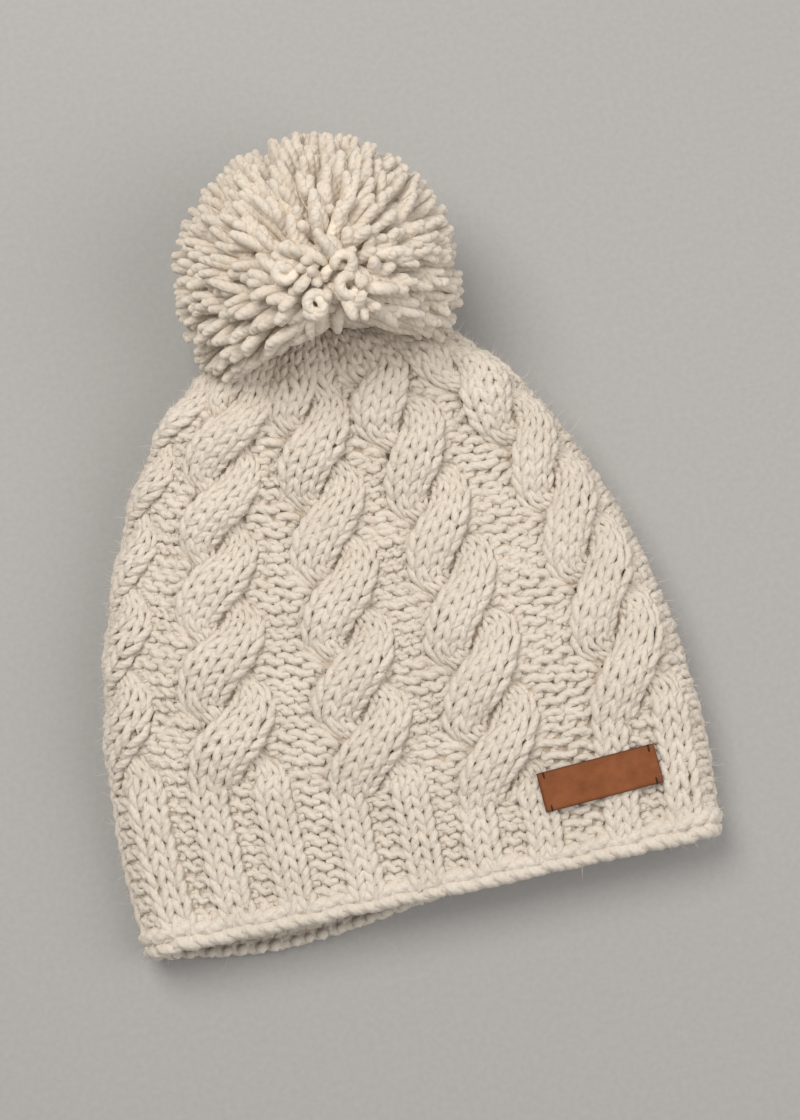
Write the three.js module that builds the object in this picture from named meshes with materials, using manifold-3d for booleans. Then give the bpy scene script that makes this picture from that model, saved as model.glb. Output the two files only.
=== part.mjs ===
// Knitted pom-pom hat lying on its back wall, front up.
// Millimetres, +Y from the head opening to the pom-pom, +Z up.

import * as THREE from "three";
import { mergeVertices } from "three/addons/utils/BufferGeometryUtils.js";
import Module from "manifold-3d";

const wasm = await Module();
wasm.setup();

// Body of the hat, measured on the middle of the knitted wall
const LENGTH = 240;
const HALF_WIDTH = 120;
const WIDEST_AT = 41;
const MOUTH_TAPER = 3.5;
const DOME_POWER = 0.46;
const WALL = 6;

// Half thickness of the lying hat and the rise of its tip towards the pom-pom
const MOUTH_HALF_THICKNESS = 11;
const BODY_HALF_THICKNESS = 16;
const THICKENS_OVER = 110;
const CLOSES_FROM = 172;
const TIP_LIFT = 16;
const LIFTS_FROM = 150;
const TOP_SAG = 0.13;
const ROUND_SHARE = 0.85;

// Courses of knitting rise towards the sides of the lying hat
const COURSE_RISE = 0.45;

// The rim of the back wall reaches out a little past the front one on the left
const BACK_REACH = { out: 5, from: 0.47, to: 0.79, fades: 40 };

// Knitted pattern: cables of two strands between plain gaps, ribs below them
const CABLES = 10;
const PATTERN_SHIFT = 0.065;
const CROSSING = 31;
const STRAND_HEIGHT = 3.3;
const STRAND_OVER = 2;
const RIB_MIDDLE = 12.7;
const RIB_HALF_WIDTH = 7.9;
const RIB_HEIGHT = 2.5;
const PATTERN_FADES_FROM = 212;
const RIB_TO_CABLE = { from: 23, to: 11 };
const FOLD_FLAT = { share: 0.55, width: 0.035 };

// Run of one strand over two crossings, measured from the crossing where it lies in front,
// on a hat with cables this far apart
const RUN_PITCH = 51;
const STRAND_RUN = [
  { rise: -31, middle: 1.5, half: 8 },
  { rise: -24, middle: -3.4, half: 8 },
  { rise: -17, middle: -9.6, half: 9 },
  { rise: -10, middle: -6.5, half: 12 },
  { rise: -3, middle: -2.3, half: 14 },
  { rise: 4, middle: 3, half: 13.6 },
  { rise: 11, middle: 9.8, half: 10.4 },
  { rise: 18, middle: 11.4, half: 9.2 },
  { rise: 22, middle: 9.9, half: 8.6 },
  { rise: 31, middle: 1.5, half: 8 },
];

// How far each cable lies to the side of an even spacing, and the height of its first crossing
const CABLE_PLACES = [
  { cable: 0, aside: 2.5, first: 48 },
  { cable: 1, aside: 10.5, first: 60 },
  { cable: 2, aside: 12, first: 66 },
  { cable: 3, aside: 6, first: 60 },
  { cable: 4, aside: 0, first: 68 },
  { cable: 5, aside: 0, first: 62 },
  { cable: 6, aside: 0, first: 66 },
  { cable: 7, aside: 1, first: 67 },
  { cable: 8, aside: 0, first: 70 },
  { cable: 9, aside: 3, first: 61.5 },
];

// Ribbed band with a rolled cast-on rim
const BAND_TOP = 44;
const SEAM_GAP = 0.6;
const RIM_PROFILE = [
  { height: 0, out: -1 },
  { height: 1.4, out: 1 },
  { height: 4.2, out: 1 },
  { height: 6.5, out: 0 },
];
const BAND_COURSES = [18, 32];

// Grid of the knitted surface, finer on the front than on the back that lies flat
const AROUND = 84;
const FRONT_SHARE = 0.7;
const CROWN_COURSES = 30;
const TIP_EASE = 1.3;
const CROWN_END = 239.2;
const HOLLOW_AROUND = 40;
const HOLLOW_COURSES = [-14, 3, 41, 80, 115, 148, 178, 202, 219, 230];

// Pom-pom of yarn locks on a round head
const POM = { x: 4.5, y: 254, z: 46 };
const POM_RADIUS = 57.5;
const HEAD_RADIUS = 31;
const HEAD_AWAY = 5;
const LOCKS = 32;
const LOCK_SPREAD = 126;
const LOCK_SIDES = 5;
const LOCK_LENGTH_CHANGE = 2.5;
const LOCK_PROFILE = [
  { radius: 0, reach: 0.4 },
  { radius: 15, reach: 0.8 },
  { radius: 9.5, reach: 0.96 },
  { radius: 0, reach: 1 },
];
const POM_CLEARANCE = 0.6;
const SEAT_AROUND = 48;
const SEAT_COURSES = [180, 200, 214, 226, 234, 239.2];

// Leather patch on the front of the band
const LABEL = { across: 49, along: 16.2, thickness: 1.7, x: 74.2, y: 32.7, tilt: 2.6 };
const LABEL_OFF_WALL = 6.3;
const LABEL_COLUMNS = 12;
const LABEL_ROWS = 3;

const BELOW_FLOOR = 60;
const FLOOR_SIDE = 600;

const WOOL = new THREE.MeshStandardMaterial({ color: 0xd9cfbf, roughness: 0.95, metalness: 0 });
const CUT_WOOL = new THREE.MeshStandardMaterial({ color: 0xe0d6c6, roughness: 0.97, metalness: 0 });
const LEATHER = new THREE.MeshStandardMaterial({ color: 0x8b5435, roughness: 0.62, metalness: 0 });

function ease(from, to, value) {
  const t = THREE.MathUtils.clamp((value - from) / (to - from), 0, 1);
  return t * t * (3 - 2 * t);
}

function halfWidth(y) {
  if (y < WIDEST_AT) {
    return HALF_WIDTH - MOUTH_TAPER * ((WIDEST_AT - y) / WIDEST_AT) ** 2;
  }
  const u = Math.min((y - WIDEST_AT) / (LENGTH - WIDEST_AT), 1);
  return HALF_WIDTH * (1 - u * u) ** DOME_POWER;
}

function openHalfThickness(y) {
  const growth = BODY_HALF_THICKNESS - MOUTH_HALF_THICKNESS;
  return MOUTH_HALF_THICKNESS + growth * ease(0, THICKENS_OVER, y);
}

function halfThickness(y) {
  const u = THREE.MathUtils.clamp((y - CLOSES_FROM) / (LENGTH - CLOSES_FROM), 0, 1);
  const closing = Math.sqrt(1 - u * u);
  return Math.min(openHalfThickness(y) * closing, ROUND_SHARE * halfWidth(y));
}

function middleHeight(y) {
  return WALL / 2 + openHalfThickness(y) + TIP_LIFT * ease(LIFTS_FROM, LENGTH, y);
}

// Point of a section with flat faces and round sides, turn 0 at the middle of the front
function sectionPoint(y, turn) {
  const b = halfThickness(y);
  const flat = halfWidth(y) - b;
  const around = 4 * flat + 2 * Math.PI * b;
  const wrapped = turn - Math.floor(turn);
  const mirrored = wrapped > 0.5;
  const along = (mirrored ? 1 - wrapped : wrapped) * around;
  let x;
  let z;
  if (along < flat) {
    x = along;
    z = b;
  } else if (along < flat + Math.PI * b) {
    const angle = (along - flat) / b;
    x = flat + b * Math.sin(angle);
    z = b * Math.cos(angle);
  } else {
    x = 2 * flat + Math.PI * b - along;
    z = -b;
  }
  if (z > 0) {
    z *= 1 - TOP_SAG * (x / halfWidth(y)) ** 2;
  }
  return new THREE.Vector3(mirrored ? -x : x, y, middleHeight(y) + z);
}

function sideShare(turn) {
  return Math.abs(sectionPoint(WIDEST_AT, turn).x) / HALF_WIDTH;
}

function backReach(height, turn) {
  const wrapped = turn - Math.floor(turn);
  const share = THREE.MathUtils.clamp(
    (wrapped - BACK_REACH.from) / (BACK_REACH.to - BACK_REACH.from),
    0,
    1,
  );
  return BACK_REACH.out * Math.sin(Math.PI * share) ** 2 * (1 - ease(0, BACK_REACH.fades, height));
}

function courseToY(height, turn) {
  if (height < 0) {
    return height - backReach(0, turn);
  }
  const rise = COURSE_RISE * sideShare(turn) ** 2;
  return height * (1 + rise * (1 - height / LENGTH)) - backReach(height, turn);
}

function wallMiddle(turn, height) {
  return sectionPoint(courseToY(height, turn), turn);
}

function wallNormal(turn, height) {
  const stepTurn = 0.002;
  const stepHeight = 0.3;
  const around = wallMiddle(turn + stepTurn, height).sub(wallMiddle(turn - stepTurn, height));
  const up = wallMiddle(turn, height + stepHeight).sub(wallMiddle(turn, height - stepHeight));
  return around.cross(up).normalize();
}

function wallPoint(turn, height, out) {
  return wallMiddle(turn, height).addScaledVector(wallNormal(turn, height), out);
}

function ridge(offset, half) {
  return Math.sqrt(Math.max(0, 1 - (offset / half) ** 2));
}

function patternShare(height) {
  return 1 - ease(PATTERN_FADES_FROM, LENGTH, height);
}

// Looks a column of the strand's run up at a height above its front crossing
function runAt(rise, column) {
  const wrapped = THREE.MathUtils.euclideanModulo(rise + CROSSING, 2 * CROSSING) - CROSSING;
  const above = STRAND_RUN.findIndex((row) => row.rise > wrapped);
  const low = STRAND_RUN[above - 1];
  const high = STRAND_RUN[above];
  const share = (wrapped - low.rise) / (high.rise - low.rise);
  return THREE.MathUtils.lerp(low[column], high[column], share);
}

// The knitting is stretched smooth where the lying hat folds at its two sides
function foldShare(turn) {
  const wrapped = turn - Math.floor(turn);
  const away = Math.min(Math.abs(wrapped - 0.25), Math.abs(wrapped - 0.75)) / FOLD_FLAT.width;
  return 1 - FOLD_FLAT.share * Math.exp(-away * away);
}

// The nearest cable and how far to its side a turn lies
function cableAt(turn) {
  const places = CABLE_PLACES.map(({ cable, aside, first }) => {
    const away = turn - PATTERN_SHIFT - (cable + aside / RUN_PITCH) / CABLES;
    return { first, offset: (away - Math.round(away)) * CABLES * RUN_PITCH };
  });
  return places.reduce((a, b) => (Math.abs(a.offset) <= Math.abs(b.offset) ? a : b));
}

// Height of ribs and crossing strands above the plain gaps of the knitting
function relief(turn, height) {
  const { first, offset } = cableAt(turn);
  const intoCable = ease(first - RIB_TO_CABLE.from, first - RIB_TO_CABLE.to, height);
  const tall = THREE.MathUtils.lerp(RIB_HEIGHT, STRAND_HEIGHT, intoCable);
  const strands = [1, -1].map((side) => {
    const rise = height - first + (side > 0 ? 0 : CROSSING);
    const middle = THREE.MathUtils.lerp(-side * RIB_MIDDLE, runAt(rise, "middle"), intoCable);
    const half = THREE.MathUtils.lerp(RIB_HALF_WIDTH, runAt(rise, "half"), intoCable);
    const over = STRAND_OVER * Math.cos((Math.PI * rise) / CROSSING) * intoCable;
    return (tall + over) * ridge(offset - middle, half);
  });
  return Math.max(...strands) * patternShare(height) * foldShare(turn);
}

function rimOut(height) {
  const last = RIM_PROFILE.length - 1;
  if (height >= RIM_PROFILE[last].height) {
    return 0;
  }
  const above = RIM_PROFILE.findIndex((row) => row.height > height);
  const low = RIM_PROFILE[above - 1];
  const high = RIM_PROFILE[above];
  const share = (height - low.height) / (high.height - low.height);
  return THREE.MathUtils.lerp(low.out, high.out, share);
}

// Outside of the knitting, pressed flat where it rests
function knitPoint(turn, height) {
  const ribbed = relief(turn, height) * ease(0, RIM_PROFILE[2].height, height);
  const out = WALL / 2 + ribbed + rimOut(height);
  const point = wallPoint(turn, height, out);
  point.z = Math.max(point.z, 0);
  return point;
}

function geometryOf(points, triangles) {
  const geometry = new THREE.BufferGeometry();
  const positions = points.flatMap((point) => [point.x, point.y, point.z]);
  geometry.setAttribute("position", new THREE.Float32BufferAttribute(positions, 3));
  geometry.setIndex(triangles);
  return geometry;
}

// Closed skin over a stack of rings, each end closed to its own middle point
function skinRings(rings, startPoint, endPoint) {
  const count = rings[0].length;
  const points = rings.flat();
  const triangles = [];
  const start = points.push(startPoint) - 1;
  const end = points.push(endPoint) - 1;
  const lastRing = (rings.length - 1) * count;
  for (let i = 0; i < count; i += 1) {
    const next = (i + 1) % count;
    triangles.push(start, next, i);
    triangles.push(end, lastRing + i, lastRing + next);
    for (let j = 0; j < rings.length - 1; j += 1) {
      const a = j * count + i;
      const b = j * count + next;
      triangles.push(a, b, b + count);
      triangles.push(a, b + count, a + count);
    }
  }
  return geometryOf(points, triangles);
}

function axisPoint(y) {
  return new THREE.Vector3(0, y, middleHeight(y));
}

function ringOf(count, makePoint) {
  return Array.from({ length: count }, (_, i) => makePoint(i / count));
}

function solidOf(geometry) {
  const bare = geometry.clone();
  bare.deleteAttribute("normal");
  bare.deleteAttribute("uv");
  const merged = mergeVertices(bare, 1e-4);
  const vertProperties = new Float32Array(merged.attributes.position.array);
  const triVerts = new Uint32Array(merged.index.array);
  return new wasm.Manifold(new wasm.Mesh({ numProp: 3, vertProperties, triVerts }));
}

function meshOf(name, solid, material) {
  const raw = solid.getMesh();
  const geometry = new THREE.BufferGeometry();
  geometry.setAttribute("position", new THREE.BufferAttribute(new Float32Array(raw.vertProperties), 3));
  geometry.setIndex(new THREE.BufferAttribute(new Uint32Array(raw.triVerts), 1));
  geometry.computeVertexNormals();
  const mesh = new THREE.Mesh(geometry, material);
  mesh.name = name;
  return mesh;
}

// Turn of a grid column, from an even share of the columns
function gridTurn(share) {
  const front = FRONT_SHARE / 2;
  if (share < front) {
    return (0.25 * share) / front;
  }
  if (share > 1 - front) {
    return 1 - (0.25 * (1 - share)) / front;
  }
  return 0.25 + (0.5 * (share - front)) / (1 - FRONT_SHARE);
}

// Ring within the hollow, so that a cut end of the wall runs square through it
function innerRing(height) {
  return ringOf(AROUND, (share) => wallPoint(gridTurn(share), height, -WALL));
}

function outerRing(height) {
  return ringOf(AROUND, (share) => knitPoint(gridTurn(share), height));
}

// The lowest rings repeat the top rings of the band, one seam gap further up
function crownSkin() {
  const seam = new THREE.Vector3(0, SEAM_GAP, 0);
  const rings = [innerRing(BAND_TOP), outerRing(BAND_TOP)];
  rings.flat().forEach((point) => point.add(seam));
  for (let j = 1; j <= CROWN_COURSES; j += 1) {
    const share = 1 - (1 - j / CROWN_COURSES) ** TIP_EASE;
    rings.push(outerRing(THREE.MathUtils.lerp(BAND_TOP, CROWN_END, share)));
  }
  return skinRings(rings, axisPoint(BAND_TOP).add(seam), axisPoint(LENGTH + WALL / 2));
}

// Smooth envelope of the gathered tip, clear of its strands
function seatSkin() {
  const rings = SEAT_COURSES.map((height) => {
    const out = WALL / 2 + (STRAND_HEIGHT + STRAND_OVER) * patternShare(height) + POM_CLEARANCE;
    return ringOf(SEAT_AROUND, (turn) => wallPoint(turn, height, out));
  });
  const tip = LENGTH + WALL / 2 + POM_CLEARANCE;
  return skinRings(rings, axisPoint(SEAT_COURSES[0]), axisPoint(tip));
}

function bandSkin() {
  const heights = [...RIM_PROFILE.map((row) => row.height), ...BAND_COURSES, BAND_TOP];
  const rings = heights.map(outerRing);
  return skinRings([innerRing(0), ...rings, innerRing(BAND_TOP)], axisPoint(0), axisPoint(BAND_TOP));
}

function hollowSkin() {
  const rings = HOLLOW_COURSES.map((height) =>
    ringOf(HOLLOW_AROUND, (turn) => wallPoint(turn, height, -WALL / 2)),
  );
  const last = HOLLOW_COURSES[HOLLOW_COURSES.length - 1];
  return skinRings(rings, axisPoint(HOLLOW_COURSES[0]), axisPoint(last + WALL / 2));
}

// One yarn lock along +Y, from inside the head to its rounded tip
function lockSkin(length) {
  const profile = LOCK_PROFILE.map((row) => new THREE.Vector2(row.radius, row.reach * length));
  return new THREE.LatheGeometry(profile, LOCK_SIDES);
}

function pomSolid() {
  const golden = Math.PI * (3 - Math.sqrt(5));
  const lowest = Math.cos(THREE.MathUtils.degToRad(LOCK_SPREAD));
  const middle = new THREE.Vector3(POM.x, POM.y, POM.z);
  const head = new THREE.IcosahedronGeometry(HEAD_RADIUS, 2);
  head.translate(middle.x, middle.y + HEAD_AWAY, middle.z);
  let solid = solidOf(head);
  for (let i = 0; i < LOCKS; i += 1) {
    const up = 1 - ((i + 0.5) / LOCKS) * (1 - lowest);
    const flat = Math.sqrt(1 - up * up);
    const direction = new THREE.Vector3(flat * Math.cos(i * golden), up, flat * Math.sin(i * golden));
    const lock = lockSkin(POM_RADIUS + LOCK_LENGTH_CHANGE * Math.sin(i * golden * 2));
    const turn = new THREE.Quaternion().setFromUnitVectors(new THREE.Vector3(0, 1, 0), direction);
    lock.applyQuaternion(turn);
    lock.translate(middle.x, middle.y, middle.z);
    solid = solid.add(solidOf(lock));
  }
  const floor = new THREE.BoxGeometry(FLOOR_SIDE, FLOOR_SIDE, BELOW_FLOOR);
  floor.translate(POM.x, POM.y, -BELOW_FLOOR / 2);
  return solid.subtract(solidOf(floor)).subtract(solidOf(seatSkin()));
}

// Middle of the front wall, straight below a point of the plan
function frontHeight(x, y) {
  return middleHeight(y) + halfThickness(y) * (1 - TOP_SAG * (x / halfWidth(y)) ** 2);
}

function labelPoint(i, j, off) {
  const step = 0.5;
  const across = (i / LABEL_COLUMNS - 0.5) * LABEL.across;
  const along = (j / LABEL_ROWS - 0.5) * LABEL.along;
  const tilt = THREE.MathUtils.degToRad(LABEL.tilt);
  const x = LABEL.x + across * Math.cos(tilt) - along * Math.sin(tilt);
  const y = LABEL.y + across * Math.sin(tilt) + along * Math.cos(tilt);
  const slopeX = (frontHeight(x + step, y) - frontHeight(x - step, y)) / (2 * step);
  const slopeY = (frontHeight(x, y + step) - frontHeight(x, y - step)) / (2 * step);
  const normal = new THREE.Vector3(-slopeX, -slopeY, 1).normalize();
  return new THREE.Vector3(x, y, frontHeight(x, y)).addScaledVector(normal, off);
}

// Thin slab of rows of points that follows the band
function labelSkin() {
  const rings = [];
  for (let i = 0; i <= LABEL_COLUMNS; i += 1) {
    const low = [];
    const high = [];
    for (let j = 0; j <= LABEL_ROWS; j += 1) {
      low.push(labelPoint(i, j, LABEL_OFF_WALL));
      high.push(labelPoint(i, LABEL_ROWS - j, LABEL_OFF_WALL + LABEL.thickness));
    }
    rings.push([...low, ...high]);
  }
  const middle = LABEL_ROWS / 2;
  const inside = LABEL_OFF_WALL + LABEL.thickness / 2;
  return skinRings(rings, labelPoint(0, middle, inside), labelPoint(LABEL_COLUMNS, middle, inside));
}

const hollow = solidOf(hollowSkin());
const hat = new THREE.Group();
hat.name = "pompom_hat";
hat.add(meshOf("crown", solidOf(crownSkin()).subtract(hollow), WOOL));
hat.add(meshOf("band", solidOf(bandSkin()).subtract(hollow), WOOL));
hat.add(meshOf("pompom", pomSolid(), CUT_WOOL));
hat.add(meshOf("label", solidOf(labelSkin()), LEATHER));

// Origin under the middle of the whole hat
const bounds = new THREE.Box3().setFromObject(hat);
const centre = bounds.getCenter(new THREE.Vector3());
for (const piece of hat.children) {
  piece.geometry.translate(-centre.x, -centre.y, -bounds.min.z);
}

export default hat;
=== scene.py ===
"""Looks of the knitted pom-pom hat: yarn by yarn knitting, cut yarn tufts, leather patch."""

import math

import bpy
import numpy as np
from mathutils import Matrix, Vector


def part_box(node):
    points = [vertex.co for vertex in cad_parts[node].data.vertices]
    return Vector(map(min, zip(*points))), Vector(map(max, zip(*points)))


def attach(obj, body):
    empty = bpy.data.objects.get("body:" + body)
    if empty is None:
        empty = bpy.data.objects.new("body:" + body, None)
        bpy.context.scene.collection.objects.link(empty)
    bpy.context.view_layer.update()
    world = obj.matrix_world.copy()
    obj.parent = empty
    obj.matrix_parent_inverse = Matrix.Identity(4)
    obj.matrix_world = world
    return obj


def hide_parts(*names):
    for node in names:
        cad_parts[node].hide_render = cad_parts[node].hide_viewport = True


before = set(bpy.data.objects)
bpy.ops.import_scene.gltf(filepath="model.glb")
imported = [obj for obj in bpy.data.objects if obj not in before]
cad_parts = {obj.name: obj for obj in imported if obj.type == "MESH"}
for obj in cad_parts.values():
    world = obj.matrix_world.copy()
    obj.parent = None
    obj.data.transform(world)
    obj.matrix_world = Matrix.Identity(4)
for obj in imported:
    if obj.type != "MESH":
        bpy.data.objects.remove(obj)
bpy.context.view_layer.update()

MM = 0.001
rng = np.random.default_rng(7)

# Body of the hat in millimetres, measured on the middle of the knitted wall
LENGTH = 240.0
HALF_WIDTH = 120.0
WIDEST_AT = 41.0
MOUTH_TAPER = 3.5
DOME_POWER = 0.46
WALL = 6.0
MOUTH_HALF_THICKNESS = 11.0
BODY_HALF_THICKNESS = 16.0
THICKENS_OVER = 110.0
CLOSES_FROM = 172.0
TIP_LIFT = 16.0
LIFTS_FROM = 150.0
TOP_SAG = 0.13
ROUND_SHARE = 0.85
FLOOR_SOFTNESS = 1.6
MOUTH_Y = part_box("crown")[1][1] / MM - LENGTH - WALL / 2

# Courses rise towards the sides, and the back rim reaches out past the front one on the left
COURSE_RISE = 0.45
BACK_REACH = {"out": 7.5, "from": 0.47, "to": 0.79, "fades": 40.0}

# Cables round the hat: how far each lies to the side of an even spacing, and its first crossing
CABLES = 10
PATTERN_SHIFT = 0.065
CABLE_PITCH = 51.0
CABLE_PLACES = [
    {"aside": 2.5, "first": 48.0},
    {"aside": 10.5, "first": 60.0},
    {"aside": 12.0, "first": 66.0},
    {"aside": 6.0, "first": 60.0},
    {"aside": 0.0, "first": 68.0},
    {"aside": 0.0, "first": 62.0},
    {"aside": 0.0, "first": 66.0},
    {"aside": 1.0, "first": 67.0},
    {"aside": 0.0, "first": 70.0},
    {"aside": 3.0, "first": 61.5},
]
FIRST_CROSSINGS = np.array([place["first"] for place in CABLE_PLACES])
ASIDE = np.array([place["aside"] / CABLE_PITCH for place in CABLE_PLACES])
EVEN_FROM = 165.0
EVEN_TO = 207.0

# Run of one strand over two crossings, measured from the crossing where it lies in front
CROSSING = 31.0
STRAND_RUN = [
    {"rise": -CROSSING, "middle": 1.5, "half": 8.0},
    {"rise": -24.0, "middle": -3.4, "half": 8.0},
    {"rise": -17.0, "middle": -10.4, "half": 8.4},
    {"rise": -10.0, "middle": -7.4, "half": 11.0},
    {"rise": -3.0, "middle": -2.3, "half": 14.0},
    {"rise": 4.0, "middle": 3.0, "half": 13.6},
    {"rise": 11.0, "middle": 9.8, "half": 10.4},
    {"rise": 18.0, "middle": 12.6, "half": 7.8},
    {"rise": 22.0, "middle": 11.2, "half": 7.6},
    {"rise": CROSSING, "middle": 1.5, "half": 8.0},
]
RUN_STEP = 0.25
RUN_SMOOTHING = 2.0
STRAND_RISE = 2.3
STRAND_OVER = 3.7
STRAND_ROUND = 3.0
EDGE_DROP = 2.4

# Ribs below the cables, which turn into strands ahead of the first crossing
RIB_EDGE = 0.39
RIB_WALES = (0.14, 0.14, 0.11)
RIB_RISE = 2.0
RIB_ENDS = 0.5 * CROSSING
CABLE_STARTS = 0.75 * CROSSING
CABLE_FULL = 0.35 * CROSSING
GAP_SINK = 0.3
FURROW_SINK = 0.4

# Towards the tip the strands widen, sink and end in plain knitting
WIDENS = {"from": 150.0, "to": 214.0, "by": 0.4}
SINKS_FROM = 212.0
PLAIN_FROM = 203.0
PLAIN_TO = 220.0
PLAIN_HALF = 0.25

# Relief is stretched smooth at the two side folds, over this part of a turn
FOLD_FLAT = {"share": 0.8, "width": 0.035}

# Stitches: courses of yarn loops, with fewer wales towards the tip
FIRST_COURSE = 4.6
COURSE_STEP = 5.15
COURSES = 45
LAST_ROUND = 236.0
KNIT_REACH = 0.9
PURL_REACH = 0.74
STITCH_OPEN = 0.25
STITCH_DEPTH = 1.35
TURN_OVER = 0.12
PURL_LEAN = 0.65
COURSE_TURN = 0.55
COURSE_TURN_LIMIT = 7.0
STITCH_SAMPLES = 12
GAP_WALES = [
    {"from": 0.0, "wales": 2},
    {"from": 58.0, "wales": 3},
    {"from": 150.0, "wales": 2},
    {"from": 178.0, "wales": 1},
    {"from": 214.0, "wales": 0},
]
STRAND_WALES = [
    {"from": 0.0, "wales": 3},
    {"from": 211.0, "wales": 2},
    {"from": 229.0, "wales": 1},
]

# Yarn, full thick in a wale of this width, and how uneven hand knitting leaves it
YARN = 1.68
YARN_SIDES = 6
YARN_THINNEST = 0.72
YARN_PLUMP = 0.07
FULL_WALE = {"knit": 6.4, "purl": 5.6}
PURL_THICKER = 0.1
LIES_AT = 1.18 * YARN
UNEVEN = {"around": 0.35, "up": 0.38, "out": 0.28, "thick": 0.05, "rough": 0.1}

# Felted ground behind the stitches, its two faces below the middle of the yarn
GROUND_FACES = (0.7, 1.2)
GROUND_AROUND = 200
GROUND_COURSES = np.concatenate([np.linspace(1.4, 225.0, 46), [230.0, 234.0, 237.0, 239.0]])
GROUND_LIES_AT = 1.2
GROUND_TIP = 0.6

# Chain of links along the cast-on rim
RIM = {"links": 72, "samples": 15, "middle": 3.6, "tall": 8.4, "open": 0.24, "ahead": 0.95, "overlap": 0.06}
RIM_WAVE = {"size": 0.45, "waves": 23.0}
RIM_TUCK = {"below": 2.0, "most": 1.1, "inward": 0.9}
RIM_OUT = {"middle": 0.9, "depth": 1.3}
RIM_YARN = {"thin": 2.3, "thick": 2.9, "plump": 0.08, "lies_at": 3.1}
RIM_UNEVEN = {"around": 0.09, "tall": 0.07}

# Pom-pom of cut yarn that parts from the middle of its face
POM = np.array([4.5, 254.0, 46.0])
POM_RADIUS = 57.5
POM_FACE = np.array([0.11, -0.235, 0.966])
POM_SEED = 3
POM_LIES_AT = 3.0
FRONT_TUFTS = {"count": 1080, "high": 0.998, "low": 0.0, "thin": 0.55}
BACK_TUFTS = {"count": 500, "high": 0.0, "low": -0.97, "thin": 0.0}
GOLDEN_ANGLE = math.pi * (3.0 - math.sqrt(5.0))
SPIRAL_STEPS = 200
TUFT_STRAY = 0.06
TUFT_LENGTH = {"longest": 1.04, "shorter": 0.19, "power": 1.4}
TUFT_ROOTS = {"front": 43.0, "back": 10.0, "spread": 3.5, "starts": 0.2}
TUFT_BULGE = 11.0
TUFT_YARN = {"thin": 2.2, "thick": 2.8}
TUFT_SAMPLES = 8
TUFT_SIDES = 5
TUFT_PROFILE = [
    {"along": 0.0, "thick": 0.7},
    {"along": 0.08, "thick": 1.0},
    {"along": 0.2, "thick": 1.08},
    {"along": 0.65, "thick": 0.95},
    {"along": 1.0, "thick": 0.75},
]
SHORTEST_FREE = 0.45

# Tufts over the crown: some hang over it, the others are tucked short behind those
OVER_CROWN = 29.0
OVER_CROWN_SIDES = 10.0
OVER_CROWN_LOWEST = -0.3
HANGING = {"share": 0.3, "nearest": 0.5, "farthest": 1.05, "least_droop": 4.0, "most_droop": 20.0}
TUCKED = 0.68
CROWN_CLEARANCE = 3.5
CROWN_ENDS = LENGTH + 2.0

# Loose curls near the middle of the face, as steps to the right and up from the pom-pom's middle
POM_CURLS = [(-9.0, -9.5), (-5.8, -19.8), (-1.4, -26.6), (13.6, -21.4), (6.4, -9.8)]
CURL = {"aim": 0.9, "stem": 0.3, "turn": 265.0, "small": 3.2, "large": 4.2, "tilt": 0.35}
CURL_SAMPLES = 18
CURL_SIDES = 7
CURL_STEM = [
    {"along": 0.0, "reach": 0.55},
    {"along": 0.3, "reach": 0.95},
    {"along": 1.0, "reach": 1.0},
]
CURL_PROFILE = [
    {"along": 0.0, "thick": 2.0},
    {"along": 0.9, "thick": 2.3},
    {"along": 1.0, "thick": 1.8},
]
CORE = {"front": 16.0, "back": 38.0, "from": -0.5, "to": 0.4, "rings": 20, "around": 36}

# Leather patch on the band, seated on the tops of the ribs
LABEL = {"across": 49.0, "along": 16.2, "thick": 1.7, "x": 74.2, "y": 32.7, "tilt": math.radians(2.6)}
LABEL_OFF_WALL = 4.9
LABEL_EDGE = np.array([0.0, 0.25, 0.7, 1.4])
LABEL_GRID = {"columns": 60, "rows": 24}
LABEL_ROUND = {"drop": 0.55, "over": 0.7}
LABEL_WAVE = {"size": 0.18, "length": 24.0, "start": 0.6}
LABEL_WORN = 0.5
CORNER_STITCH = {"inset": 2.6, "length": 2.7, "radius": 0.36, "high": 0.45, "sunk": 0.2}
CORNER_SAMPLES = 9
CORNER_SIDES = 6

# Loose hairs, each a ribbon in three lengths that runs out to a point
KNIT_HAIRS = {"count": 30000, "above": 6.0}
POM_HAIRS = {"count": 14000, "above": 8.0}
HAIR_WIDTH = 0.15
HAIR_LENGTH = {"shape": 3.0, "scale": 0.95, "shortest": 0.8, "longest": 6.0}
HAIR_STRAY = 0.9
HAIR_LEAST_OUT = 0.2
HAIR_BEND = 0.6
HAIR_STARTS = 1.2
HAIR_SHARES = np.array([0.0, 0.35, 0.7, 1.0])
HAIR_TAPER = np.array([1.0, 0.9, 0.7])
HAIR_LIES_AT = 0.1

# Colours and yarn relief
WOOL_COLOUR = (0.78, 0.707, 0.626)
TUFT_COLOUR = (0.77, 0.69, 0.60)
# Tufts turn paler deeper in, towards their roots: painted light in the shade among them
TUFT_ROOT_PAINTED_LIGHT = (0.95, 0.85, 0.72)
PAINTED_LIGHT_FROM = 4.0
PAINTED_LIGHT_TO = 20.0
# Ground is darker and browner than the yarn: painted shade in the gaps between stitches and in the
# pom-pom's core
GROUND_SHADE_COLOUR = (0.68, 0.58, 0.46)
LEATHER_DARK = (0.20, 0.060, 0.019)
LEATHER_LIGHT = (0.30, 0.100, 0.036)
LEATHER_EDGE = (0.12, 0.038, 0.014)
THREAD_COLOUR = (0.02, 0.014, 0.01)
FLOOR_COLOUR = (0.46, 0.452, 0.443)
WOOL_DARKER = (0.86, 0.84, 0.8)
WOOL_LIGHTER = 1.06
FIBRE_SHARE = 0.55
PLIES = 3.0
PLY_TWIST = 9.0
PLY_RELIEF = 0.35
YARN_BUMP = 0.0006
LEATHER_BUMP = 0.00025

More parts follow.
